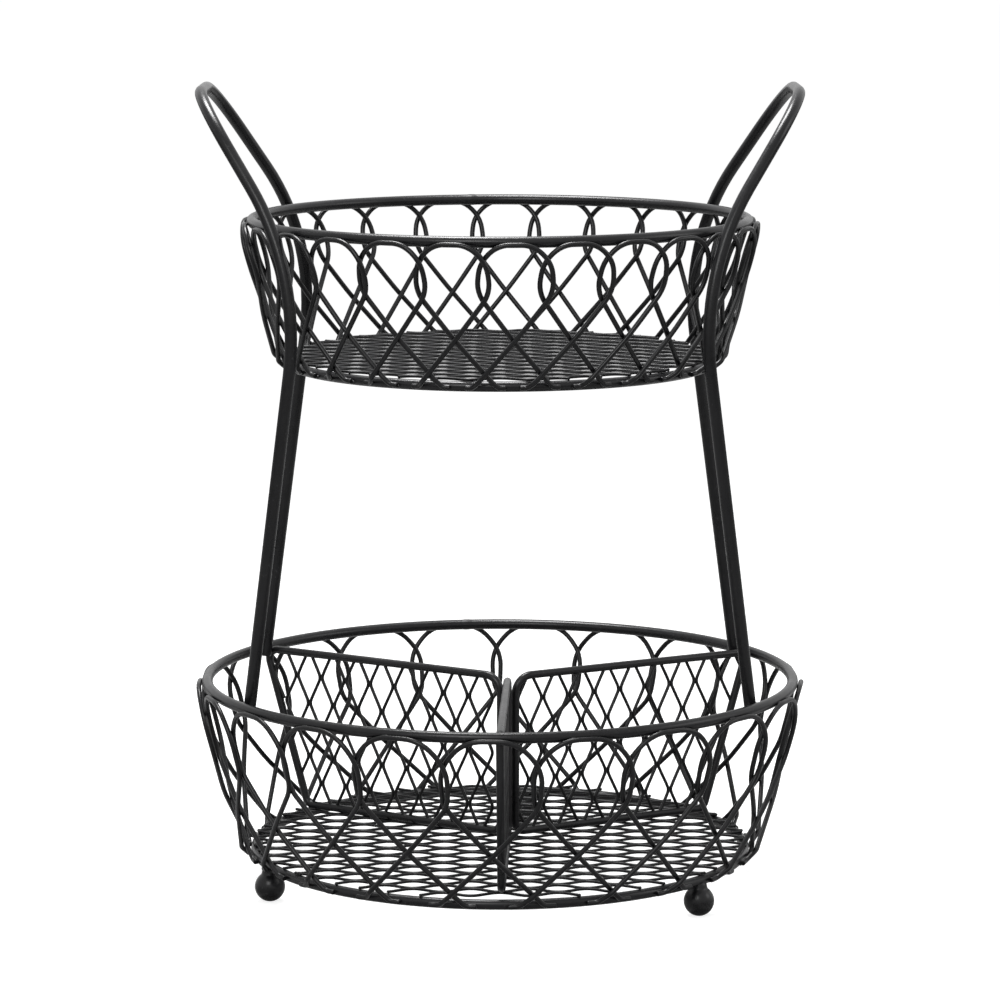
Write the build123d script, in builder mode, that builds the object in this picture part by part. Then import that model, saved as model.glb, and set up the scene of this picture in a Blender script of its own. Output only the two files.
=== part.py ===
from build123d import *
from dataclasses import dataclass
from math import cos, hypot, pi, radians, sin, sqrt, tan
import os

# Tiered wire basket. Two round baskets of welded wire stand one above the other.
# Two bent rods carry the upper basket, rise above it as handles and end inside the
# lower rim. The origin is on the table under the middle, +Z is up, +X points to the
# right handle and -Y to the front. Millimetres.

# Wire and rod diameters
rim_wire = 5.4
base_wire = 5.0
loop_wire = 2.5
frame_wire = 4.0
mesh_wire = 1.5
handle_rod = 6.0

# Clearances. Welded wires keep this sliver of air, where the real ones melt together.
weld_gap = 0.05
layer_gap = 0.2
handle_gap = 0.7

# Lower basket
lower_rim_radius = 147.0
lower_base_radius = 123.4
lower_wall_height = 86.2
lower_wall_bulge = 1.6

# Upper basket, and its base above the lower rim
upper_rim_radius = 122.7
upper_base_radius = 104.7
upper_wall_height = 70.1
upper_wall_bulge = 1.0
tier_space = 160.7

# Walls of bent loops
crest_drop = 1.0
wall_stand_off = 1.8
arch_radius = 26.0
shoulder_radius = 20.0
lean_radius = 17.0
sway_radius = 150.0
hem_radius = 5.5
hem_reach = 0.6
hem_step_share = 0.1
corner_share = 0.47

# Handles
leg_bearing = 30.2
handle_bearing = 35.1
bend_below_rim = 18.2
bend_inset = 14.1
bend_outset = 10.6
bend_radius = 117.0
grip_rise = 64.2
grip_spread = 146.0
grip_half_width = 48.0
grip_radius = 46.0

# Ball feet, the first beside the loop of this number
foot_diameter = 15.0
foot_flat = 0.3
foot_turn = 1.4
first_foot_loop = 3

# Dividers, a Y of three panels that meet at three posts beside each other
divider_bearings = {"right": 30, "left": 150, "front": 270}
divider_turn = -1.6
divider_middle = 4.0
divider_foot_radius = 119.0
post_ring = 2.4
crown_radius = 9.0
frame_corner_radius = 5.0
frame_radii = [frame_corner_radius, crown_radius, frame_corner_radius, frame_corner_radius]

# Wire mesh of floors and dividers
cell_length = 26.0
cell_width = 15.0
node_length = 5.0
floor_overlap = 1.0
panel_border = 1.2
least_cell_share = 0.3

# Heights
foot_centre_height = foot_diameter / 2 - foot_flat
lower_base_height = foot_centre_height + foot_diameter / 2 + weld_gap + base_wire / 2
lower_rim_height = lower_base_height + lower_wall_height
upper_base_height = lower_rim_height + tier_space
upper_rim_height = upper_base_height + upper_wall_height
floor_height = lower_base_height + base_wire / 2 + weld_gap
divider_low = floor_height + mesh_wire + weld_gap + frame_wire / 2
hem_drop = base_wire / 2 + weld_gap + loop_wire / 2
layer_step = loop_wire + layer_gap


@dataclass
class Basket:
    """The rings of one basket and how its loops stand round them."""

    rim_radius: float
    rim_height: float
    base_radius: float
    base_height: float
    bulge: float
    loop_count: int
    loop_turn: float
    back_drift: float
    loop_shares: tuple

    def wall_radius(self, share):
        """Radius of the inner layer of loops, from the rim (0) to under the base (1)."""
        top = self.rim_radius + rim_wire / 2 + weld_gap + loop_wire / 2
        foot = self.base_radius + base_wire / 2 + wall_stand_off + loop_wire / 2
        return top + (foot - top) * share + self.bulge * sin(pi * share)

    def wall_height(self, share):
        """Height on the wall, from the loops' crest (0) to under the base ring (1)."""
        top = self.rim_height - crest_drop
        return top + (self.base_height - hem_drop - top) * share

    def bearing(self, step):
        """Degrees from +X of a place counted in loops from the front one."""
        turn = self.loop_turn + step * 360 / self.loop_count
        return turn + self.back_drift * (1 - cos(radians(turn))) - 90

    def point(self, step, share, lift):
        """Centre of a loop's wire at one place of the wall, lifted outwards."""
        radius = self.wall_radius(share) + lift
        angle = radians(self.bearing(step))
        return Vector(radius * cos(angle), radius * sin(angle), self.wall_height(share))


# Corners of half a loop: steps sideways in loops, share of the wall's depth, and share
# of one layer outwards on the side that passes over its neighbours. The wire turns over
# its crest, swells past its neighbour, comes back over its own middle and ends under
# the base ring on the far side.
lower_loop_shares = (
    (0.245, 0.0, 0.9),
    (0.64, 0.185, 1.0),
    (0.675, 0.36, 1.0),
    (0.08, 0.655, 1.0),
    (-0.64, 1.0, 1.0),
)
upper_loop_shares = (
    (0.31, 0.0, 0.9),
    (0.68, 0.135, 1.0),
    (0.715, 0.32, 1.0),
    (0.06, 0.595, 1.0),
    (-0.76, 1.0, 1.0),
)

lower_basket = Basket(
    rim_radius=lower_rim_radius,
    rim_height=lower_rim_height,
    base_radius=lower_base_radius,
    base_height=lower_base_height,
    bulge=lower_wall_bulge,
    loop_count=21,
    loop_turn=-1.2,
    back_drift=1.2,
    loop_shares=lower_loop_shares,
)
upper_basket = Basket(
    rim_radius=upper_rim_radius,
    rim_height=upper_rim_height,
    base_radius=upper_base_radius,
    base_height=upper_base_height,
    bulge=upper_wall_bulge,
    loop_count=26,
    loop_turn=1.5,
    back_drift=-1.0,
    loop_shares=upper_loop_shares,
)


def corner_radii(points, wanted):
    """Bend radii along a bent wire, each as wanted or as large as its runs allow."""
    radii = []
    for before, corner, after, radius in zip(points, points[1:], points[2:], wanted):
        run = min((corner - before).length, (after - corner).length)
        half_turn = radians((corner - before).get_angle(after - corner)) / 2
        radii.append(min(radius, corner_share * run / tan(half_turn)))
    return radii


def bend_wire(points, radii, diameter, close=False):
    """One round wire, straight between its bends, swept into the part being built."""
    with BuildLine() as route:
        FilletPolyline(*points, radius=radii, close=close)
    start = Plane(origin=route.wire() @ 0, z_dir=route.wire() % 0)
    with BuildSketch(start) as section:
        Circle(diameter / 2)
    sweep(sections=section.sketch, path=route.wire())


def half_loop(basket, number, side):
    """Points of one half of a loop, from beside its crest to its end under the base."""
    points = []
    for step, share, layer in basket.loop_shares:
        lift = layer * layer_step if side > 0 else 0
        points.append(basket.point(number + side * step, share, lift))
    last_step = basket.loop_shares[-1][0] - hem_step_share
    angle = radians(basket.bearing(number + side * last_step))
    radius = basket.base_radius - hem_reach
    height = basket.base_height - hem_drop
    points.append(Vector(radius * cos(angle), radius * sin(angle), height))
    return points


def wall_loop(basket, number):
    """One loop of the wall: a single wire from hem to crest and back to the hem."""
    left = half_loop(basket, number, -1)
    right = half_loop(basket, number, 1)
    points = left[::-1] + right
    half = [arch_radius, shoulder_radius, lean_radius, sway_radius, hem_radius]
    with BuildPart() as loop:
        bend_wire(points, corner_radii(points, half[::-1] + half), loop_wire)
    return loop.part


def loop_numbers(basket, quarter):
    """Loops whose crest stands in one quarter: 0 front, 1 right, 2 back, 3 left."""
    numbers = []
    for number in range(basket.loop_count):
        if int((basket.bearing(number) + 135) % 360 // 90) == quarter:
            numbers.append(number)
    return numbers


def ring(radius, height, diameter):
    """A closed round ring of wire, turned into the part being built."""
    with BuildSketch(Plane.XZ) as section:
        with Locations((radius, height)):
            Circle(diameter / 2)
    revolve(section.sketch, axis=Axis.Z)


def cell_places(reach):
    """Middles of the mesh's gaps, in rows that step by half a cell."""
    places = []
    rows = int(reach / (cell_width / 2)) + 1
    columns = int(reach / cell_length) + 1
    for row in range(-rows, rows + 1):
        shift = cell_length / 2 if row % 2 else 0
        for column in range(-columns, columns + 1):
            place = (column * cell_length + shift, row * cell_width / 2)
            if hypot(*place) < reach:
                places.append(place)
    return places


def cell_corners():
    """The six corners of one gap between two wavy strands that lie along X."""
    along = (cell_length - node_length) / 2
    flat = node_length / 2
    across = cell_width / 2 - mesh_wire
    upper = [(along, 0), (flat, across), (-flat, across)]
    return upper + [(-x, -y) for x, y in upper]


def net(outline, reach, strand_turn):
    """A sheet of wire mesh cut to an outline, as one holed face with a plain border."""
    middle = outline.bounding_box().center()
    with BuildSketch(mode=Mode.PRIVATE) as cells:
        with Locations(Location(middle, (0, 0, strand_turn))):
            with Locations(*cell_places(reach)):
                Polygon(*cell_corners(), align=None)
    least_area = least_cell_share * cells.faces()[0].area
    with BuildSketch(mode=Mode.PRIVATE) as gaps:
        add(outline)
        offset(amount=-panel_border, mode=Mode.REPLACE)
        add(cells.sketch, mode=Mode.INTERSECT)
    with BuildSketch(mode=Mode.PRIVATE) as sheet:
        add(outline)
        add(gaps.faces().filter_by(lambda face: face.area > least_area), mode=Mode.SUBTRACT)
    return sheet.sketch


def floor_mesh(basket):
    """The floor of a basket: a round sheet of mesh lying on the base ring."""
    radius = basket.base_radius + floor_overlap
    with BuildSketch(mode=Mode.PRIVATE) as outline:
        Circle(radius)
    with BuildSketch(Plane.XY.offset(basket.base_height + base_wire / 2 + weld_gap)) as sheet:
        add(net(outline.sketch, radius, 0))
    extrude(sheet.sketch, amount=mesh_wire)


def divider_plane(bearing):
    """Upright plane of one panel: its X runs out from the middle, its Y is up."""
    angle = radians(bearing)
    outwards = (cos(angle), sin(angle), 0)
    sideways = (sin(angle), -cos(angle), 0)
    return Plane(origin=(divider_middle, 0, 0), x_dir=outwards, z_dir=sideways)


def reach_to(bearing, radius):
    """Distance along a panel from the middle of the Y to a circle round the basket."""
    along = divider_middle * cos(radians(bearing))
    beside = divider_middle * sin(radians(bearing))
    return sqrt(radius * radius - beside * beside) - along


def divider_corners(bearing):
    """Corners of a panel's frame: inner foot, inner top, outer top and outer foot."""
    outer_top = reach_to(bearing, lower_rim_radius - rim_wire / 2 - weld_gap)
    outer_foot = reach_to(bearing, divider_foot_radius)
    return [
        (post_ring, divider_low),
        (post_ring, lower_rim_height),
        (outer_top, lower_rim_height),
        (outer_foot, divider_low),
    ]


def divider_frame(bearing):
    """The frame of a panel: one wire bent round and welded to itself."""
    plane = divider_plane(bearing)
    points = [plane.from_local_coords(Vector(x, y)) for x, y in divider_corners(bearing)]
    bend_wire(points, frame_radii, frame_wire, close=True)


def divider_mesh(bearing):
    """The mesh of a panel, with its strands upright, set inside the frame."""
    with BuildSketch(mode=Mode.PRIVATE) as outline:
        with BuildLine():
            FilletPolyline(*divider_corners(bearing), radius=frame_radii, close=True)
        make_face()
        offset(amount=-frame_wire / 2 - weld_gap, mode=Mode.REPLACE)
    reach = outline.sketch.bounding_box().diagonal / 2
    with BuildSketch(divider_plane(bearing)) as sheet:
        add(net(outline.sketch, reach, 90))
    extrude(sheet.sketch, amount=mesh_wire / 2, both=True)


def handle(side):
    """One rod: up inside the lower rim, past the upper rim, over the grip and back."""
    foot_radius = lower_rim_radius - rim_wire / 2 - weld_gap - handle_rod / 2
    foot_x = foot_radius * cos(radians(leg_bearing))
    foot_y = foot_radius * sin(radians(leg_bearing))
    foot_z = lower_rim_height - rim_wire / 2
    crest_lift = upper_loop_shares[0][2] * layer_step / 2
    rest_radius = upper_basket.wall_radius(0) + crest_lift + loop_wire / 2 + handle_gap + handle_rod / 2
    bend_x = rest_radius * cos(radians(handle_bearing)) - bend_inset
    bend_y = rest_radius * sin(radians(handle_bearing)) + bend_outset
    bend_z = upper_rim_height - bend_below_rim
    grip_z = upper_rim_height + grip_rise
    front = [
        Vector(side * foot_x, -foot_y, foot_z),
        Vector(side * bend_x, -bend_y, bend_z),
        Vector(side * grip_spread, -grip_half_width, grip_z),
    ]
    back = [Vector(point.X, -point.Y, point.Z) for point in front[::-1]]
    bend_wire(front + back, [bend_radius, grip_radius, grip_radius, bend_radius], handle_rod)


def foot_place(third):
    """Middle of a ball foot, under the base ring beside the end wires of a loop."""
    number = first_foot_loop + round(third * lower_basket.loop_count / 3)
    angle = radians(lower_basket.bearing(number) + foot_turn)
    return (lower_base_radius * cos(angle), lower_base_radius * sin(angle), foot_centre_height)


def save(part, name):
    """Label one finished piece and write it to its own file."""
    part.label = name
    export_step(part, f"parts/{name}.step")


os.makedirs("parts", exist_ok=True)

for basket_name, basket in (("lower", lower_basket), ("upper", upper_basket)):
    with BuildPart() as rim:
        ring(basket.rim_radius, basket.rim_height, rim_wire)
    save(rim.part, f"{basket_name}_rim")

    with BuildPart() as base_ring:
        ring(basket.base_radius, basket.base_height, base_wire)
    save(base_ring.part, f"{basket_name}_base_ring")

    for quarter, quarter_name in enumerate(("front", "right", "back", "left")):
        wires = [wall_loop(basket, number) for number in loop_numbers(basket, quarter)]
        with BuildPart() as loops:
            add(wires)
        save(loops.part, f"{basket_name}_loops_{quarter_name}")

    with BuildPart() as floor:
        floor_mesh(basket)
    save(floor.part, f"{basket_name}_floor_mesh")

for place, bearing in divider_bearings.items():
    with BuildPart() as frame:
        divider_frame(bearing + divider_turn)
    save(frame.part, f"divider_{place}_frame")

    with BuildPart() as panel:
        divider_mesh(bearing + divider_turn)
    save(panel.part, f"divider_{place}_mesh")

for place, side in (("left", -1), ("right", 1)):
    with BuildPart() as rod:
        handle(side)
    save(rod.part, f"handle_{place}")

for third, place in enumerate(("right", "back", "left")):
    with BuildPart(Plane(origin=foot_place(third))) as foot:
        Sphere(foot_diameter / 2)
        split(bisect_by=Plane.XY, keep=Keep.TOP)
    save(foot.part, f"foot_{place}")
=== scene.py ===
# %% [markdown]
# # A tiered wire basket in black powder coat
# The object is two round baskets of welded wire, one above the other. Two bent rods carry
# the upper one and rise above it as handles. A CAD model already fixes every size and
# place, so this lesson only dresses it. Round wires become smooth tubes, the holed plates
# that stand in for wire mesh become real wavy wires, and all of it gets one satin finish.
# The frame is loaded first. The dressed object may not be larger than the measured one.

# %% Load the frame
from math import acos, ceil, cos, pi, radians, sin, sqrt, tan

import bmesh
import bpy
from mathutils import Matrix, Vector


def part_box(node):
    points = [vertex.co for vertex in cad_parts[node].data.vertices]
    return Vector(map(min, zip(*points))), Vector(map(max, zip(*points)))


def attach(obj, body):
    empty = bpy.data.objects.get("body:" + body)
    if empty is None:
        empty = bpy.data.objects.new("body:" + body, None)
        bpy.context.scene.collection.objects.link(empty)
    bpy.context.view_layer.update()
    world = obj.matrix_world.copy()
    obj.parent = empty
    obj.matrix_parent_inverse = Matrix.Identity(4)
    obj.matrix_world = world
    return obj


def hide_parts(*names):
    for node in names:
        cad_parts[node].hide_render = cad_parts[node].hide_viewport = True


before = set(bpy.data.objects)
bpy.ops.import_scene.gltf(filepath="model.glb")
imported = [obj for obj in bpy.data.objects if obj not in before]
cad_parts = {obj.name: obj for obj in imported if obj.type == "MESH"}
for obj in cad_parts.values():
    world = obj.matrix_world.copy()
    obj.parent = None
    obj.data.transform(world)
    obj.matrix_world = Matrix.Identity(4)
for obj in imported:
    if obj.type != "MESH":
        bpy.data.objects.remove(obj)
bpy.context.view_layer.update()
MM = 0.001

# %% [markdown]
# ## Where the photograph was taken from
# The picture looks slightly down at the basket from about two metres, which shows in how
# flat the round rims look. A long lens at that distance keeps the two rims nearly alike,
# so the camera goes to the same place with the same lens. It could also be fitted by eye,
# but the measured place is written down.

# %% Camera
camera_height = 0.513
camera_distance = 2.0663
camera_tilt = 8.783
lens_length, sensor_width = 150.43, 36
camera_data = bpy.data.cameras.new("camera")
camera_data.sensor_width = sensor_width
camera_data.lens = lens_length
camera = bpy.data.objects.new("camera", camera_data)
camera.location = (0, -camera_distance, camera_height)
camera.rotation_euler = (radians(90 - camera_tilt), 0, 0)
bpy.context.scene.collection.objects.link(camera)
bpy.context.scene.camera = camera
print("camera at", tuple(round(v, 3) for v in camera.location))

# %% [markdown]
# ## Small helpers for node trees
# Materials and Geometry Nodes are both trees of nodes joined by links. Written out link by
# link they are hard to read, so one small class wraps an output socket and turns plain
# arithmetic into Math nodes, and one function adds any other node. The same pair serves
# the finish and the wires.

# %% Node helpers
class Signal:
    """One output socket. Arithmetic on it adds Math nodes to the same tree."""

    def __init__(self, tree, socket):
        self.tree = tree
        self.socket = socket

    def math(self, operation, *others):
        return add_node(self.tree, "ShaderNodeMath", {"operation": operation}, self, *others)

    def __add__(self, other):
        return self.math("ADD", other)

    def __sub__(self, other):
        return self.math("SUBTRACT", other)

    def __rsub__(self, other):
        return add_node(self.tree, "ShaderNodeMath", {"operation": "SUBTRACT"}, other, self)

    def __mul__(self, other):
        return self.math("MULTIPLY", other)

    def __truediv__(self, other):
        return self.math("DIVIDE", other)


def plug(tree, socket, value):
    """Join a signal to an input, or write a plain value on it."""
    if isinstance(value, Signal):
        tree.links.new(value.socket, socket)
    elif value is not None:
        socket.default_value = value


def add_node(tree, kind, settings, *values, output=None, **named):
    """Add a node: its settings, its inputs in order or by name, and which output to use."""
    node = tree.nodes.new(kind)
    for name, setting in settings.items():
        setattr(node, name, setting)
    for place, value in enumerate(values):
        plug(tree, node.inputs[place], value)
    for name, value in named.items():
        plug(tree, node.inputs[name.replace("_", " ")], value)
    usable = [socket for socket in node.outputs if socket.enabled]
    return Signal(tree, node.outputs[output] if output else usable[0])


print("helpers ready")

# %% [markdown]
# ## The finish: satin black powder coat
# Steel wire is sprayed with dry powder and baked. The coat is nearly black, a little
# uneven in gloss, and has a very fine pebbled skin, which softens every highlight into
# charcoal grey. A flat black would look like a hole in the picture, so the coat gets a
# cloudy tone, specks of paler dust, gloss that wanders and a fine bump. The patterns read
# Object coordinates, in metres, so they lie still on the wire at their real size.

# %% Powder coat
cloud_scale = 38.0
cloud_contrast, grain_contrast = 1.6, 0.5
cloud_gloss, grain_gloss = 0.22, 0.12
dust_threshold, dust_tone = 0.71, (0.06, 0.06, 0.062, 1)
mirror_level = 0.26


def powder_coat(name, dark, pale, gloss, pebble_size, pebble_depth):
    """A satin powder coat: two tones, a roughness, and the size and depth of its skin."""
    material = bpy.data.materials.new(name)
    material.use_nodes = True
    tree = material.node_tree
    tree.nodes.clear()
    place = add_node(tree, "ShaderNodeTexCoord", {}, output="Object")
    cloud = add_node(tree, "ShaderNodeTexNoise", {}, Vector=place, Scale=cloud_scale,
                     Detail=3.0, Roughness=0.55)
    grain = add_node(tree, "ShaderNodeTexNoise", {}, Vector=place, Scale=0.45 / pebble_size,
                     Detail=2.0, Roughness=0.5)
    pebbles = add_node(tree, "ShaderNodeTexNoise", {}, Vector=place, Scale=1.0 / pebble_size,
                       Detail=2.0, Roughness=0.6)
    dust = grain.math("GREATER_THAN", dust_threshold) * cloud * 0.5
    tone_mix = (cloud - 0.5) * cloud_contrast + (grain - 0.5) * grain_contrast + 0.5
    tone = add_node(tree, "ShaderNodeMix", {"data_type": "RGBA"}, tone_mix, output=2)
    for place_in_node, shade in ((6, dark), (7, pale)):
        tone.socket.node.inputs[place_in_node].default_value = (*shade, 1)
    dusted = add_node(tree, "ShaderNodeMix", {"data_type": "RGBA"}, dust, output=2)
    tree.links.new(tone.socket, dusted.socket.node.inputs[6])
    dusted.socket.node.inputs[7].default_value = dust_tone
    roughness = (cloud - 0.5) * cloud_gloss + (grain - 0.5) * grain_gloss + gloss
    skin = add_node(tree, "ShaderNodeBump", {}, Strength=0.55, Distance=pebble_depth,
                    Height=pebbles * 0.8 + grain * 0.4)
    shader = add_node(tree, "ShaderNodeBsdfPrincipled", {}, Base_Color=dusted,
                      Roughness=roughness, Normal=skin, Specular_IOR_Level=mirror_level)
    result = tree.nodes.new("ShaderNodeOutputMaterial")
    tree.links.new(shader.socket, result.inputs["Surface"])
    return material


# All the wire wears one coat. The darker tones of the thin wires are painted shade, and the
# paler tone of the rims is a painted highlight, as wide wire catches more light than thin.
thick_dark, thick_pale = (0.003, 0.003, 0.0036), (0.010, 0.010, 0.0110)
thin_painted_shade_dark, thin_painted_shade_pale = (0.002, 0.002, 0.0025), (0.007, 0.007, 0.0078)
ring_painted_highlight_pale = (0.011, 0.011, 0.0121)
rod_coat = powder_coat("rod_coat", thick_dark, thick_pale, 0.30, 0.9 * MM, 0.05 * MM)
ring_coat = powder_coat("ring_coat", thick_dark, ring_painted_highlight_pale, 0.31, 0.8 * MM, 0.05 * MM)
loop_coat = powder_coat("loop_coat", thin_painted_shade_dark, thin_painted_shade_pale, 0.32, 0.6 * MM, 0.03 * MM)
mesh_coat = powder_coat("mesh_coat", thin_painted_shade_dark, thin_painted_shade_pale, 0.36, 0.5 * MM, 0.02 * MM)
foot_coat = powder_coat("foot_coat", thick_dark, thick_pale, 0.29, 1.0 * MM, 0.06 * MM)
print("finishes:", [m.name for m in (rod_coat, ring_coat, loop_coat, mesh_coat, foot_coat)])

# %% [markdown]
# ## A Geometry Nodes tree for round wire
# Nearly every piece is a round wire bent along a path. The path could be given a bevel,
# but a small tree that sweeps a circle along it can also copy the wire round the basket,
# with its number as an input. Each copy is turned about the upright axis, and two slight
# drifts let the copies crowd a little towards the back or the sides, as hand-set loops do.

# %% Wire tree
def wire_tree(name):
    """Sweeps a circle along every path, then copies the wires round the Z axis."""
    tree = bpy.data.node_groups.new(name, "GeometryNodeTree")
    face = tree.interface
    face.new_socket("Paths", in_out="INPUT", socket_type="NodeSocketGeometry")
    face.new_socket("Wire radius", in_out="INPUT", socket_type="NodeSocketFloat")
    face.new_socket("Sides", in_out="INPUT", socket_type="NodeSocketInt")
    face.new_socket("Copies", in_out="INPUT", socket_type="NodeSocketInt")
    face.new_socket("Front turn", in_out="INPUT", socket_type="NodeSocketFloat")
    face.new_socket("Back drift", in_out="INPUT", socket_type="NodeSocketFloat")
    face.new_socket("Side drift", in_out="INPUT", socket_type="NodeSocketFloat")
    face.new_socket("Finish", in_out="INPUT", socket_type="NodeSocketMaterial")
    face.new_socket("Wires", in_out="OUTPUT", socket_type="NodeSocketGeometry")
    given = tree.nodes.new("NodeGroupInput")
    made = tree.nodes.new("NodeGroupOutput")
    paths, radius, sides, copies, turn, back, side, finish = [
        Signal(tree, socket) for socket in given.outputs[:8]]
    circle = add_node(tree, "GeometryNodeCurvePrimitiveCircle", {}, Resolution=sides,
                      Radius=radius)
    scale_along = add_node(tree, "GeometryNodeInputRadius", {})
    tube = add_node(tree, "GeometryNodeCurveToMesh", {}, Curve=paths, Profile_Curve=circle,
                    Scale=scale_along, Fill_Caps=True)
    number = add_node(tree, "GeometryNodeInputIndex", {})
    angle = number * 2 * pi / copies + turn
    drift = back * (1 - angle.math("COSINE")) + side * angle.math("SINE")
    spin = add_node(tree, "ShaderNodeCombineXYZ", {}, Z=angle + drift)
    centres = add_node(tree, "GeometryNodePoints", {}, Count=copies)
    ring = add_node(tree, "GeometryNodeInstanceOnPoints", {}, Points=centres, Instance=tube,
                    Rotation=spin)
    solid = add_node(tree, "GeometryNodeRealizeInstances", {}, ring)
    smooth = add_node(tree, "GeometryNodeSetShadeSmooth", {}, solid)
    dressed = add_node(tree, "GeometryNodeSetMaterial", {}, smooth, Material=finish)
    tree.links.new(dressed.socket, made.inputs[0])
    return tree


def run_tree(start, tree, inputs, name):
    """Give a start object a tree with its inputs, and return the result as a plain mesh."""
    bpy.context.scene.collection.objects.link(start)
    modifier = start.modifiers.new("shape", "NODES")
    modifier.node_group = tree
    for item in tree.interface.items_tree:
        if item.in_out == "INPUT" and item.name in inputs:
            modifier[item.identifier] = inputs[item.name]
    graph = bpy.context.evaluated_depsgraph_get()
    mesh = bpy.data.meshes.new_from_object(start.evaluated_get(graph))
    start.modifiers.remove(modifier)
    bpy.data.objects.remove(start)
    piece = bpy.data.objects.new(name, mesh)
    bpy.context.scene.collection.objects.link(piece)
    mesh.name = name
    return piece


wires = wire_tree("wires_round_an_axis")
print("tree inputs:", [item.name for item in wires.interface.items_tree])

# %% [markdown]
# ## From bend points to a path
# A wire bender works with straight runs and round bends, and so does the CAD model. Each
# path is therefore a list of corners with a bend radius at each, and the bends are turned
# into short steps here. A wide bend needs smaller steps of turn than a tight one before
# its outline looks round, so the step follows from the radius. The ends of a real wire are
# cut, then rounded a little by the coat, so the tube narrows over its last sixth of a
# diameter.

# %% Paths
bend_tolerance, widest_step, least_bend = 0.04 * MM, radians(9), 1e-4
end_reaches, end_scales = [0.05, 0.16], [0.8, 0.94]


def round_axis(radius, angle, height):
    """A point on a circle round the basket's axis, at an angle from +X."""
    return Vector((radius * cos(angle), radius * sin(angle), height))


def bend_steps(before, corner, after, radius):
    """Points of the round bend that replaces one corner."""
    back = (before - corner).normalized()
    ahead = (after - corner).normalized()
    half_turn = (pi - back.angle(ahead)) / 2
    if half_turn < least_bend:
        return [corner]
    run = radius * tan(half_turn)
    start = corner + back * run
    centre = corner + (back + ahead).normalized() * (radius / cos(half_turn))
    reach_in = start - centre
    reach_out = corner + ahead * run - centre
    step_angle = min(widest_step, 2 * acos(1 - bend_tolerance / radius))
    steps = max(2, ceil(half_turn * 2 / step_angle))
    points = []
    for step in range(steps + 1):
        turned = half_turn * 2 * step / steps
        share_out = sin(turned) / sin(half_turn * 2)
        share_in = sin(half_turn * 2 - turned) / sin(half_turn * 2)
        points.append(centre + reach_in * share_in + reach_out * share_out)
    return points


def bent_path(corners, radii, closed=False):
    """A whole path from its corners and its bend radii."""
    points = []
    count = len(corners)
    if closed:
        for place, radius in enumerate(radii):
            before, after = corners[place - 1], corners[(place + 1) % count]
            points += bend_steps(before, corners[place], after, radius)
        return points
    points.append(corners[0])
    for place, radius in enumerate(radii, start=1):
        points += bend_steps(corners[place - 1], corners[place], corners[place + 1], radius)
    points.append(corners[-1])
    return points


def cut_ends(path, diameter):
    """An open path with extra points near its ends, and the tube's scale at each point."""
    first = (path[1] - path[0]).normalized() * diameter
    last = (path[-2] - path[-1]).normalized() * diameter
    points = [path[0]] + [path[0] + first * reach for reach in end_reaches]
    points += path[1:-1]
    points += [path[-1] + last * reach for reach in end_reaches[::-1]] + [path[-1]]
    scales = end_scales + [1.0] * (len(points) - 4) + end_scales[::-1]
    return points, scales


def paths_object(name, paths, closed=False, scales=None):
    """A curve object that holds one or more paths as straight-segment splines."""
    curve = bpy.data.curves.new(name, "CURVE")
    curve.dimensions = "3D"
    for place, path in enumerate(paths):
        spline = curve.splines.new("POLY")
        spline.points.add(len(path) - 1)
        for number, point in enumerate(path):
            spline.points[number].co = (*point, 1)
            spline.points[number].radius = scales[place][number] if scales else 1.0
        spline.use_cyclic_u = closed
    return bpy.data.objects.new(name, curve)


def wire_piece(name, paths, diameter, finish, sides, closed=False, scales=None, copies=1,
               turn=0.0, back_drift=0.0, side_drift=0.0):
    """One finished piece of round wire."""
    if not closed:
        rounded = [cut_ends(path, diameter) for path in paths]
        paths, scales = [pair[0] for pair in rounded], [pair[1] for pair in rounded]
    start = paths_object(name + "_path", paths, closed, scales)
    inputs = {"Wire radius": diameter / 2, "Sides": sides, "Copies": copies,
              "Front turn": turn, "Back drift": back_drift, "Side drift": side_drift,
              "Finish": finish}
    return run_tree(start, wires, inputs, name)


def settle(piece, slot, *nodes):
    """Count a finished piece to the basket in place of its CAD nodes."""
    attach(piece, "root")
    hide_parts(*nodes)
    print(piece.name, "stands for", len(nodes), "node(s), faces:", len(piece.data.polygons))


print("path helpers ready")

# %% [markdown]
# ## Measured sizes
# These are the sizes of the CAD model in metres, so that the dressed wires lie where its
# wires lie. Heights follow from the table up: ball feet, base ring, wall, rim, and the
# space to the upper basket. The loops' own bends are finer than the model's, and the wires
# of the upright panels count their thick coat, because both show in the photograph.

# %% Sizes
rim_wire, base_wire, loop_wire = 5.4 * MM, 5.0 * MM, 2.5 * MM
frame_wire, mesh_wire, handle_rod = 4.0 * MM, 1.5 * MM, 6.0 * MM
coated_mesh_wire = 1.75 * MM
weld_gap, layer_gap, handle_rest = 0.05 * MM, 0.2 * MM, 132.87 * MM
foot_diameter, foot_flat = 15.0 * MM, 0.3 * MM
crest_drop, hem_drop, hem_inset = 1.0 * MM, 0.2 * MM, 0.3 * MM
foot_height = foot_diameter / 2 - foot_flat
lower_base_height = foot_height + foot_diameter / 2 + weld_gap + base_wire / 2
lower_rim_height = lower_base_height + 86.2 * MM
upper_base_height = lower_rim_height + 160.7 * MM
upper_rim_height = upper_base_height + 70.1 * MM
layer_step = loop_wire + layer_gap

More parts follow.
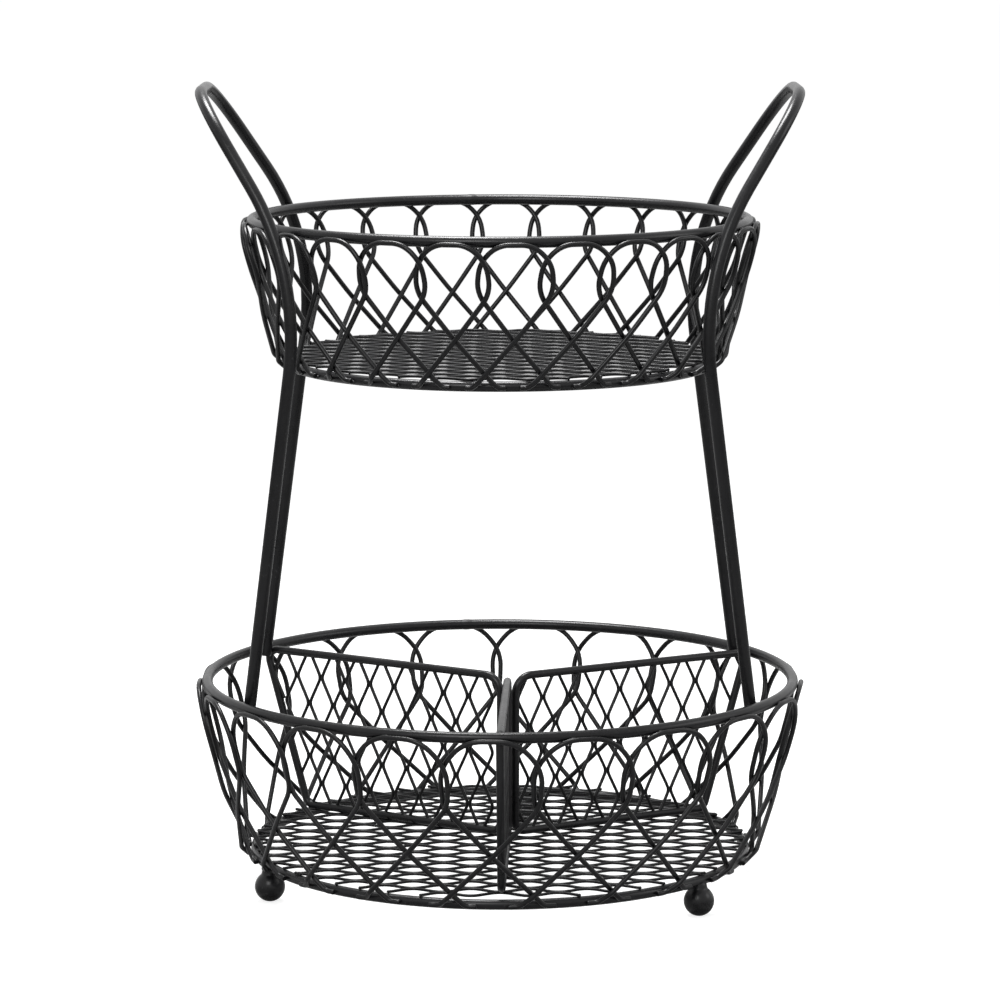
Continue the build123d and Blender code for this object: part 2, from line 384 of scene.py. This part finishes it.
baskets = {
    "lower": {"rim": 147.0 * MM, "rim_height": lower_rim_height, "base": 123.4 * MM,
              "base_height": lower_base_height, "bulge": 0.9 * MM,
              "loops": 21, "turn": -1.7, "back_drift": 1.2, "side_drift": 0.5,
              "shares": ((0.277, 0.0, 0.4), (0.55, 0.168, 1.1), (0.536, 0.389, 1.0),
                         (0.085, 0.65, 1.0), (-0.543, 0.945, 1.0)),
              "tails": (-0.67, -0.81)},
    "upper": {"rim": 122.7 * MM, "rim_height": upper_rim_height, "base": 104.7 * MM,
              "base_height": upper_base_height, "bulge": 0.1 * MM,
              "loops": 26, "turn": 3.3, "back_drift": -2.4, "side_drift": 0.0,
              "shares": ((0.269, 0.0, 0.4), (0.556, 0.123, 1.1), (0.616, 0.329, 1.0),
                         (0.049, 0.648, 1.0), (-0.609, 0.955, 1.0)),
              "tails": (-0.73, -0.87)},
}
print("rims at", round(lower_rim_height, 4), round(upper_rim_height, 4))

# %% [markdown]
# ## Rims and base rings
# Each basket hangs between a thick rim and a slightly thinner base ring, both bent from
# straight wire and butt welded. A torus would do, but the wire tree makes the same ring
# from a closed path, and it keeps every round wire alike. Where the two ends were joined,
# at the back, the ground weld leaves a faint collar, so the tube swells a little there.

# %% Rings
ring_steps = 180
collar_places = (-3, -2, -1.2, -0.5, 0.5, 1.2, 2, 3)
collar_reach, collar_swell = 1.6 * MM, 0.05
rim_weld_turn, base_weld_turn = radians(97), radians(101)


def ring_path(radius, height, weld_turn):
    """A closed circle, with its scale at each point: it swells where it was welded."""
    angles = [2 * pi * step / ring_steps for step in range(ring_steps)]
    angles += [weld_turn + place * MM / radius for place in collar_places]
    points, scales = [], []
    for angle in sorted(angles):
        points.append(round_axis(radius, angle, height))
        away = (angle - weld_turn) * radius / collar_reach
        scales.append(1 + collar_swell / (1 + away ** 4))
    return points, scales


for name, basket in baskets.items():
    path, scales = ring_path(basket["rim"], basket["rim_height"], rim_weld_turn)
    rim = wire_piece(name + "_rim_wire", [path], rim_wire, ring_coat, sides=20, closed=True,
                     scales=[scales])
    settle(rim, "ring_coat", name + "_rim")
    path, scales = ring_path(basket["base"], basket["base_height"], base_weld_turn)
    base = wire_piece(name + "_base_wire", [path], base_wire, ring_coat, sides=18, closed=True,
                      scales=[scales])
    settle(base, "ring_coat", name + "_base_ring")

# %% [markdown]
# ## The walls of bent loops
# A wall is one wire shape set round the basket again and again. Each loop turns over its
# crest outside the rim, swells past its neighbours, crosses back under its own middle and
# ends in two short tails along the outside of the base ring. Its left half lies against
# the rim and its right half one layer further out, so every wire passes over the next on
# the same side. Only one loop is bent here and the tree copies it, much as a jig bends
# every loop of a real basket alike.

# %% Loops
loop_bends = [26.0 * MM, 20.0 * MM, 17.0 * MM, 150.0 * MM, 6.0 * MM, 5.0 * MM]
run_share = 0.47


def hem_circle(basket):
    """Radius of the circle along which the loops' tails lie."""
    return basket["base"] + base_wire / 2 + weld_gap + loop_wire / 2


def crest_circle(basket):
    """Radius of the inner layer of loops at the rim."""
    return basket["rim"] + rim_wire / 2 + weld_gap + loop_wire / 2


def wall_point(basket, step, share, lift):
    """A place on the wall, counted in loops sideways from the front and in depth."""
    top, foot = crest_circle(basket), hem_circle(basket) + hem_inset
    radius = top + (foot - top) * share + basket["bulge"] * sin(pi * share) + lift
    crest, hem = basket["rim_height"] - crest_drop, basket["base_height"] - hem_drop
    angle = step * 2 * pi / basket["loops"] - pi / 2
    return round_axis(radius, angle, crest + (hem - crest) * share)


def tail_point(basket, step):
    """A place along the base ring, counted in loops sideways from the front."""
    angle = step * 2 * pi / basket["loops"] - pi / 2
    return round_axis(hem_circle(basket), angle, basket["base_height"] - hem_drop)


def half_loop(basket, side):
    """Bend corners of one half of a loop, from beside its crest to the end of its tail."""
    corners = []
    for step, share, layer in basket["shares"]:
        lift = layer * layer_step if side > 0 else 0
        corners.append(wall_point(basket, side * step, share, lift))
    return corners + [tail_point(basket, side * step) for step in basket["tails"]]


def fitting_radii(corners, wanted):
    """Bend radii as wanted, or less where a bend would use over half of a run beside it."""
    radii = []
    for before, corner, after, radius in zip(corners, corners[1:], corners[2:], wanted):
        run = min((corner - before).length, (after - corner).length)
        half_turn = (corner - before).angle(after - corner) / 2
        radii.append(min(radius, run_share * run / tan(half_turn)))
    return radii


def loop_path(basket):
    """One whole loop of the wall."""
    corners = half_loop(basket, -1)[::-1] + half_loop(basket, 1)
    return bent_path(corners, fitting_radii(corners, loop_bends[::-1] + loop_bends))


for name, basket in baskets.items():
    wall = wire_piece(name + "_wall_loops", [loop_path(basket)], loop_wire, loop_coat, sides=12,
                      copies=basket["loops"], turn=radians(basket["turn"]),
                      back_drift=radians(basket["back_drift"]),
                      side_drift=radians(basket["side_drift"]))
    quarters = [f"{name}_loops_{quarter}" for quarter in ("front", "right", "back", "left")]
    settle(wall, "loop_coat", *quarters)

# %% [markdown]
# ## Weld beads
# Wires that only touch are held by small welds: one where each loop's crest lies on the
# rim, one at each tail and a taller one at each foot of a handle. Under the coat they are
# soft lumps in the crevice between two wires, no two quite alike. One small tree puts a
# squashed ball at each place, faces it along the ring, and varies its size by a fixed seed.

# %% Bead tree
least_bead, largest_bead = (0.8, 0.85, 0.8), (1.2, 1.15, 1.2)


def bead_tree(name):
    """Puts a soft lump of weld at every vertex, longest along the ring it lies on."""
    tree = bpy.data.node_groups.new(name, "GeometryNodeTree")
    face = tree.interface
    face.new_socket("Places", in_out="INPUT", socket_type="NodeSocketGeometry")
    face.new_socket("Bead size", in_out="INPUT", socket_type="NodeSocketVector")
    face.new_socket("Seed", in_out="INPUT", socket_type="NodeSocketInt")
    face.new_socket("Finish", in_out="INPUT", socket_type="NodeSocketMaterial")
    face.new_socket("Beads", in_out="OUTPUT", socket_type="NodeSocketGeometry")
    given = tree.nodes.new("NodeGroupInput")
    made = tree.nodes.new("NodeGroupOutput")
    places, size, seed, finish = [Signal(tree, socket) for socket in given.outputs[:4]]
    ball = add_node(tree, "GeometryNodeMeshUVSphere", {}, Segments=10, Rings=6, Radius=1.0)
    here = add_node(tree, "GeometryNodeInputPosition", {})
    apart = add_node(tree, "ShaderNodeSeparateXYZ", {}, here)
    beside = Signal(tree, apart.socket.node.outputs[1])
    bearing = beside.math("ARCTAN2", apart) + pi / 2
    spin = add_node(tree, "ShaderNodeCombineXYZ", {}, Z=bearing)
    varied = tree.nodes.new("FunctionNodeRandomValue")
    varied.data_type = "FLOAT_VECTOR"
    varied.inputs["Min"].default_value = least_bead
    varied.inputs["Max"].default_value = largest_bead
    tree.links.new(seed.socket, varied.inputs["Seed"])
    shape = add_node(tree, "ShaderNodeVectorMath", {"operation": "MULTIPLY"}, size,
                     Signal(tree, varied.outputs["Value"]))
    beads = add_node(tree, "GeometryNodeInstanceOnPoints", {}, Points=places, Instance=ball,
                     Rotation=spin, Scale=shape)
    solid = add_node(tree, "GeometryNodeRealizeInstances", {}, beads)
    smooth = add_node(tree, "GeometryNodeSetShadeSmooth", {}, solid)
    dressed = add_node(tree, "GeometryNodeSetMaterial", {}, smooth, Material=finish)
    tree.links.new(dressed.socket, made.inputs[0])
    return tree


beads = bead_tree("weld_beads")


def weld_piece(name, places, size, seed, finish=ring_coat):
    """A set of weld beads of one size at a list of places."""
    mesh = bpy.data.meshes.new(name + "_places")
    mesh.from_pydata([tuple(place) for place in places], [], [])
    start = bpy.data.objects.new(name + "_places", mesh)
    inputs = {"Bead size": tuple(size), "Seed": seed, "Finish": finish}
    piece = run_tree(start, beads, inputs, name)
    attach(piece, "root")
    print(name, len(places), "beads, faces:", len(piece.data.polygons))


print("bead tree ready")

# %% Welds of the walls
crest_weld_step = -0.13
weld_depth, crest_weld_drop, tail_weld_drop = 0.1 * MM, 1.1 * MM, 0.8 * MM
crest_bead, tail_bead = (2.6 * MM, 0.8 * MM, 1.15 * MM), (2.4 * MM, 0.75 * MM, 0.95 * MM)


def loop_bearing(basket, step):
    """Angle from +X of a place counted in loops, with the drifts of the wall."""
    turn = radians(basket["turn"]) + step * 2 * pi / basket["loops"]
    to_back = radians(basket["back_drift"]) * (1 - cos(turn))
    return turn + to_back + radians(basket["side_drift"]) * sin(turn) - pi / 2


for seed, (name, basket) in enumerate(baskets.items(), start=3):
    rim_side = basket["rim"] + rim_wire / 2 + weld_depth
    base_side = basket["base"] + base_wire / 2 - weld_depth
    tail_step = sum(basket["tails"]) / 2
    crests, tails = [], []
    for number in range(basket["loops"]):
        angle = loop_bearing(basket, number + crest_weld_step)
        crests.append(round_axis(rim_side, angle, basket["rim_height"] - crest_weld_drop))
        for side in (-1, 1):
            angle = loop_bearing(basket, number + side * tail_step)
            tails.append(round_axis(base_side, angle, basket["base_height"] - tail_weld_drop))
    weld_piece(name + "_crest_welds", crests, crest_bead, seed)
    weld_piece(name + "_tail_welds", tails, tail_bead, seed + 20)

# %% [markdown]
# ## Floors of wavy wire
# The floors are sheets of mesh: thin wires that run across the basket and wave from side
# to side, each welded to its neighbours where they touch. The gaps are long lenses, a
# little longer than the holes of the CAD model, as in the photograph. A holed plate
# looks stamped, so every strand is a real wire here. A tree takes straight strands, cuts
# them into fine steps and pushes each step sideways by a wave whose sense changes from
# one strand to the next. What would reach past the edge radius is cut off, as the real
# sheet is trimmed to its ring, and a small blob of weld closes every end.

# %% Wave tree
blob_swell = 1.12


def wave_tree(name):
    """Turns straight strands along X into wavy wires that touch their neighbours."""
    tree = bpy.data.node_groups.new(name, "GeometryNodeTree")
    face = tree.interface
    face.new_socket("Strands", in_out="INPUT", socket_type="NodeSocketGeometry")
    for label in ("Wire radius", "Strand pitch", "Wave length", "Wave height", "Touch length",
                  "Softness", "Step length", "Edge radius"):
        face.new_socket(label, in_out="INPUT", socket_type="NodeSocketFloat")
    face.new_socket("Sides", in_out="INPUT", socket_type="NodeSocketInt")
    face.new_socket("Finish", in_out="INPUT", socket_type="NodeSocketMaterial")
    face.new_socket("Wires", in_out="OUTPUT", socket_type="NodeSocketGeometry")
    given = tree.nodes.new("NodeGroupInput")
    made = tree.nodes.new("NodeGroupOutput")
    strands, radius, pitch, length, height, touch, soft, step, edge, sides, finish = [
        Signal(tree, socket) for socket in given.outputs[:11]]
    fine = add_node(tree, "GeometryNodeResampleCurve", {"mode": "LENGTH"}, Curve=strands,
                    Length=step)
    here = add_node(tree, "GeometryNodeInputPosition", {})
    apart = tree.nodes.new("ShaderNodeSeparateXYZ")
    tree.links.new(here.socket, apart.inputs[0])
    along, across = Signal(tree, apart.outputs[0]), Signal(tree, apart.outputs[1])
    odd = (across / pitch).math("FLOOR").math("FLOORED_MODULO", 2.0)
    sense = 1 - odd * 2
    half = length / 2
    place = along.math("PINGPONG", half)
    slope = (place - touch / 2) / (half - touch)
    slope = slope.math("MAXIMUM", 0.0).math("MINIMUM", 1.0)
    eased = slope * slope * (3 - slope * 2)
    share = slope * (1 - soft) + eased * soft
    shift = (1 - share * 2) * sense * height
    offset = add_node(tree, "ShaderNodeCombineXYZ", {}, Y=shift)
    waved = add_node(tree, "GeometryNodeSetPosition", {}, Geometry=fine, Offset=offset)
    from_middle = add_node(tree, "ShaderNodeVectorMath", {"operation": "LENGTH"}, here,
                           output="Value")
    outside = add_node(tree, "FunctionNodeCompare", {"operation": "GREATER_THAN"},
                       from_middle, edge)
    trimmed = add_node(tree, "GeometryNodeDeleteGeometry", {"domain": "POINT"}, waved, outside)
    circle = add_node(tree, "GeometryNodeCurvePrimitiveCircle", {}, Resolution=sides,
                      Radius=radius)
    tube = add_node(tree, "GeometryNodeCurveToMesh", {}, Curve=trimmed, Profile_Curve=circle,
                    Fill_Caps=True)
    ends = add_node(tree, "GeometryNodeCurveEndpointSelection", {})
    blob = add_node(tree, "GeometryNodeMeshUVSphere", {}, Segments=8, Rings=5,
                    Radius=radius * blob_swell)
    blobs = add_node(tree, "GeometryNodeInstanceOnPoints", {}, Points=trimmed, Selection=ends,
                     Instance=blob)
    both = tree.nodes.new("GeometryNodeJoinGeometry")
    tree.links.new(tube.socket, both.inputs[0])
    tree.links.new(blobs.socket, both.inputs[0])
    solid = add_node(tree, "GeometryNodeRealizeInstances", {}, Signal(tree, both.outputs[0]))
    smooth = add_node(tree, "GeometryNodeSetShadeSmooth", {}, solid)
    dressed = add_node(tree, "GeometryNodeSetMaterial", {}, smooth, Material=finish)
    tree.links.new(dressed.socket, made.inputs[0])
    return tree


waves = wave_tree("wavy_mesh")
cell_length, cell_width, touch_length = 28.0 * MM, 15.0 * MM, 1.6 * MM
strand_pitch = cell_width / 2
wave_height = (cell_width / 2 - mesh_wire) / 2
strand_step = 1.4 * MM


def mesh_piece(name, strands, wire, softness, edge):
    """A sheet of wavy wires in its own flat plane, from straight strands along X."""
    start = paths_object(name + "_strands", strands)
    inputs = {"Wire radius": wire / 2, "Strand pitch": strand_pitch,
              "Wave length": cell_length, "Wave height": wave_height,
              "Touch length": touch_length, "Softness": softness,
              "Step length": strand_step, "Edge radius": edge, "Sides": 8,
              "Finish": mesh_coat}
    return run_tree(start, waves, inputs, name)


print("wave height", round(wave_height * 1000, 2), "mm")

# %% Floors
past_ring_middle = 1.0 * MM

for name, basket in baskets.items():
    radius = basket["base"] + past_ring_middle
    height = basket["base_height"] + base_wire / 2 + weld_gap + mesh_wire / 2
    rows = int(radius / strand_pitch)
    strands = []
    for row in range(-rows, rows):
        side = (row + 0.5) * strand_pitch
        reach = sqrt((radius + wave_height) ** 2 - side ** 2)
        strands.append([Vector((-reach, side, 0)), Vector((reach, side, 0))])
    floor_mesh = mesh_piece(name + "_floor_wires", strands, mesh_wire, softness=0.75,
                            edge=radius)
    floor_mesh.data.transform(Matrix.Translation((0, 0, height)))
    settle(floor_mesh, "mesh_coat", name + "_floor_mesh")

# %% [markdown]
# ## Dividers
# Three panels stand in the lower basket as a Y. Each is a frame of thicker wire, bent
# round and welded to itself, filled with the same wavy mesh turned upright so that its
# gaps become tall diamonds. The inner posts of the two rear frames stand a little further
# from the middle than in the CAD model, as the photograph shows. The mesh is made flat,
# with its strands cut to the frame, and then stood up by a matrix, which is simpler than
# waving wires in a slanted plane.

# %% Divider frames and mesh
floor_top = lower_base_height + base_wire / 2 + weld_gap + mesh_wire
divider_low = floor_top + weld_gap + frame_wire / 2
divider_middle, divider_foot_circle = 4.0 * MM, 119.0 * MM
divider_turn = -1.6
dividers = {"right": (30, 4.3 * MM), "left": (150, 4.3 * MM), "front": (270, 2.4 * MM)}
frame_bends = [5.0 * MM, 9.0 * MM, 5.0 * MM, 5.0 * MM]
strand_inset = 0.5 * MM
no_edge = 1.0


def reach_to(bearing, radius):
    """Distance along a panel from the middle of the Y to a circle round the basket."""
    along = divider_middle * cos(radians(bearing))
    beside = divider_middle * sin(radians(bearing))
    return sqrt(radius ** 2 - beside ** 2) - along


def panel_corners(bearing, post):
    """Frame corners in the panel's plane: inner foot, inner top, outer top, outer foot."""
    top = reach_to(bearing, baskets["lower"]["rim"] - rim_wire / 2 - weld_gap)
    foot = reach_to(bearing, divider_foot_circle)
    return [(post, divider_low), (post, lower_rim_height), (top, lower_rim_height),
            (foot, divider_low)]


def panel_stand(bearing):
    """The matrix that stands a flat panel up on its bearing."""
    angle = radians(bearing)
    out, up = Vector((cos(angle), sin(angle), 0)), Vector((0, 0, 1))
    stand = Matrix((out, up, out.cross(up))).transposed().to_4x4()
    stand.translation = (divider_middle, 0, 0)
    return stand


def panel_strands(corners):
    """Straight strands across the panel's height, laid along X for the wave tree."""
    inner, outer_top = corners[0][0], corners[2][0]
    outer_foot, low, high = corners[3][0], corners[0][1], corners[1][1]
    middle_x, middle_y = (inner + outer_top) / 2, (low + high) / 2
    strands = []
    rows = int((outer_top - inner) / 2 / strand_pitch) + 1
    for row in range(-rows, rows):
        side = (row + 0.5) * strand_pitch
        x = middle_x + side
        if not inner + frame_wire / 2 < x < outer_top - frame_wire:
            continue
        start = low
        if x > outer_foot:
            start = low + (high - low) * (x - outer_foot) / (outer_top - outer_foot)
        ends = (start + strand_inset - middle_y, high - strand_inset - middle_y)
        if ends[1] - ends[0] > frame_wire * 2:
            strands.append([Vector((ends[0], side, 0)), Vector((ends[1], side, 0))])
    return strands, (middle_x, middle_y)


swap_axes = Matrix(((0, 1, 0, 0), (1, 0, 0, 0), (0, 0, -1, 0), (0, 0, 0, 1)))
for place, (bearing, post) in dividers.items():
    bearing += divider_turn
    corners = panel_corners(bearing, post)
    stand = panel_stand(bearing)
    path = bent_path([Vector((x, y, 0)) for x, y in corners], frame_bends, closed=True)
    outline = wire_piece(f"divider_{place}_frame_wire", [path], frame_wire, ring_coat, sides=16,
                         closed=True)
    outline.data.transform(stand)
    settle(outline, "ring_coat", f"divider_{place}_frame")
    strands, middle = panel_strands(corners)
    panel = mesh_piece(f"divider_{place}_wires", strands, coated_mesh_wire, softness=0.12,
                       edge=no_edge)
    panel.data.transform(stand @ Matrix.Translation((*middle, 0)) @ swap_axes)
    settle(panel, "mesh_coat", f"divider_{place}_mesh")

# %% [markdown]
# ## Handles
# One rod makes each side: it starts inside the lower rim, leans in past the upper basket,
# bends outwards and turns over as a grip. Four bends and two cut ends describe it, and the
# taller weld beads hold its feet.

# %% Handles
foot_angle, rest_angle = radians(30.2), radians(35.1)
bend_in, bend_forward, bend_drop = 14.1 * MM, 10.6 * MM, 18.2 * MM
grip_reach, grip_depth, grip_rise = 146.0 * MM, 48.0 * MM, 64.2 * MM
handle_bends = [117.0 * MM, 46.0 * MM, 46.0 * MM, 117.0 * MM]
foot_bead = (2.7 * MM, 1.0 * MM, 2.1 * MM)


def handle_path(side):
    """The path of one rod, from its front foot over the grip to its back foot."""
    foot_radius = baskets["lower"]["rim"] - rim_wire / 2 - weld_gap - handle_rod / 2
    bend_x = handle_rest * cos(rest_angle) - bend_in
    bend_y = handle_rest * sin(rest_angle) + bend_forward
    front = [
        Vector((side * foot_radius * cos(foot_angle), -foot_radius * sin(foot_angle),
                lower_rim_height - rim_wire / 2)),
        Vector((side * bend_x, -bend_y, upper_rim_height - bend_drop)),
        Vector((side * grip_reach, -grip_depth, upper_rim_height + grip_rise)),
    ]
    back = [Vector((point.x, -point.y, point.z)) for point in front[::-1]]
    return bent_path(front + back, handle_bends)


foot_welds = []
for place, side in (("left", -1), ("right", 1)):
    path = handle_path(side)
    rod = wire_piece(f"handle_{place}_rod", [path], handle_rod, rod_coat, sides=24)
    settle(rod, "rod_coat", f"handle_{place}")
    for end in (path[0], path[-1]):
        outward = Vector((end.x, end.y, 0)).normalized() * handle_rod / 2
        foot_welds.append(end + outward + Vector((0, 0, rim_wire / 2)))
weld_piece("handle_foot_welds", foot_welds, foot_bead, 9, rod_coat)

# %% [markdown]
# ## Ball feet
# Three balls are welded under the base ring. A round ball and a round ring touch at only
# one point, so the weld is a short neck that spreads over both. The whole foot is turned
# from one profile, like a piece on a lathe: the ball with the small worn flat that it
# stands on, then the neck, which ends hidden in the ring.

# %% Feet
ball_steps, ball_end, around = 26, radians(142), 40
neck_mm = ((4.25, 6.35), (4.05, 6.9), (3.9, 7.6), (3.75, 8.4), (3.4, 9.1), (2.6, 9.7),
           (1.5, 10.1), (0.0, 10.2))


def foot_profile():
    """Distance from the axis and height over the ball's middle, from the flat to the neck."""
    ball = foot_diameter / 2
    points = [(0.0, -foot_height)]
    ball_start = acos(foot_height / ball)
    for step in range(ball_steps + 1):
        turned = ball_start + (ball_end - ball_start) * step / ball_steps
        points.append((ball * sin(turned), -ball * cos(turned)))
    return points + [(reach * MM, height * MM) for reach, height in neck_mm]


def ball_foot(name, node):
    """A foot turned from its profile at the place of a CAD foot, closed and smooth."""
    low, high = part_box(node)
    centre = Vector(((low.x + high.x) / 2, (low.y + high.y) / 2, foot_height))
    shape = bmesh.new()
    rings = []
    for reach, height in foot_profile():
        if reach == 0.0:
            rings.append([shape.verts.new((0, 0, height))])
            continue
        rings.append([shape.verts.new((reach * cos(2 * pi * turn / around),
                                       reach * sin(2 * pi * turn / around), height))
                      for turn in range(around)])
    for below, above in zip(rings, rings[1:]):
        for turn in range(around):
            after = (turn + 1) % around
            corners = [below[turn % len(below)], below[after % len(below)],
                       above[after % len(above)], above[turn % len(above)]]
            shape.faces.new(list(dict.fromkeys(corners)))
    bmesh.ops.translate(shape, verts=shape.verts, vec=centre)
    bmesh.ops.recalc_face_normals(shape, faces=shape.faces)
    mesh = bpy.data.meshes.new(name)
    shape.to_mesh(mesh)
    shape.free()
    mesh.shade_smooth()
    mesh.materials.append(foot_coat)
    foot = bpy.data.objects.new(name, mesh)
    bpy.context.scene.collection.objects.link(foot)
    return foot


for place in ("right", "back", "left"):
    foot = ball_foot(f"foot_{place}_ball", f"foot_{place}")
    settle(foot, "foot_coat", f"foot_{place}")

# %% [markdown]
# ## Floor and light
# The basket stands on a plain white floor under soft studio light. Black wire shows its
# form by what it mirrors, so the lights are large and pale: one above draws the grey line
# along each rim, and one in front and a weak one at the right keep the walls from going
# flat. The floor is brighter for the camera alone, so that it runs into the white behind
# it and still holds a faint shadow. The wires mirror the white backdrop, and a coat that
# mirrors little keeps them nearly as dark as in the photograph.

# %% Stage
floor_size, below_feet = 120, 0.2 * MM
floor_tone, floor_lift = 0.42, 0.8
look_at = (0, 0, 0.2)


def white_floor():
    """A white diffuse floor, lifted a little where the camera sees it."""
    material = bpy.data.materials.new("white_floor")
    material.use_nodes = True
    tree = material.node_tree
    tree.nodes.clear()
    seen = add_node(tree, "ShaderNodeLightPath", {}, output="Is Camera Ray")
    matt = add_node(tree, "ShaderNodeBsdfDiffuse", {}, Color=(floor_tone,) * 3 + (1,))
    glow = add_node(tree, "ShaderNodeEmission", {}, Color=(1, 1, 1, 1),
                    Strength=seen * floor_lift)
    both = add_node(tree, "ShaderNodeAddShader", {}, matt, glow)
    result = tree.nodes.new("ShaderNodeOutputMaterial")
    tree.links.new(both.socket, result.inputs["Surface"])
    return material


bpy.ops.mesh.primitive_plane_add(size=floor_size, location=(0, 0, -below_feet))
stage_floor = bpy.context.object
stage_floor.name = "stage_floor"
stage_floor.data.materials.append(white_floor())

world = bpy.data.worlds.new("studio")
world.use_nodes = True
tree = world.node_tree
tree.nodes.clear()
path_kind = tree.nodes.new("ShaderNodeLightPath")
plain = Signal(tree, path_kind.outputs["Is Camera Ray"])
for ray in ("Is Glossy Ray", "Is Transmission Ray"):
    plain = plain.math("MAXIMUM", Signal(tree, path_kind.outputs[ray]))
backdrop = add_node(tree, "ShaderNodeBackground", {}, Color=(1, 1, 1, 1),
                    Strength=plain * 0.5 + 0.5)
result = tree.nodes.new("ShaderNodeOutputWorld")
tree.links.new(backdrop.socket, result.inputs["Surface"])
bpy.context.scene.world = world


def soft_light(name, place, target, size, power):
    """A large square lamp that faces a point."""
    lamp = bpy.data.lights.new(name, "AREA")
    lamp.shape = "SQUARE"
    lamp.size = size
    lamp.energy = power
    light = bpy.data.objects.new(name, lamp)
    light.location = place
    aim = Vector(target) - Vector(place)
    light.rotation_euler = aim.to_track_quat("-Z", "Y").to_euler()
    bpy.context.scene.collection.objects.link(light)


soft_light("top_light", (-0.15, 0.25, 1.25), look_at, 0.45, 22)
soft_light("front_light", (-0.4, -1.5, 1.1), look_at, 0.6, 10)
soft_light("side_light", (1.4, -0.2, 0.8), look_at, 0.6, 3)
bpy.context.scene.view_settings.view_transform = "Standard"
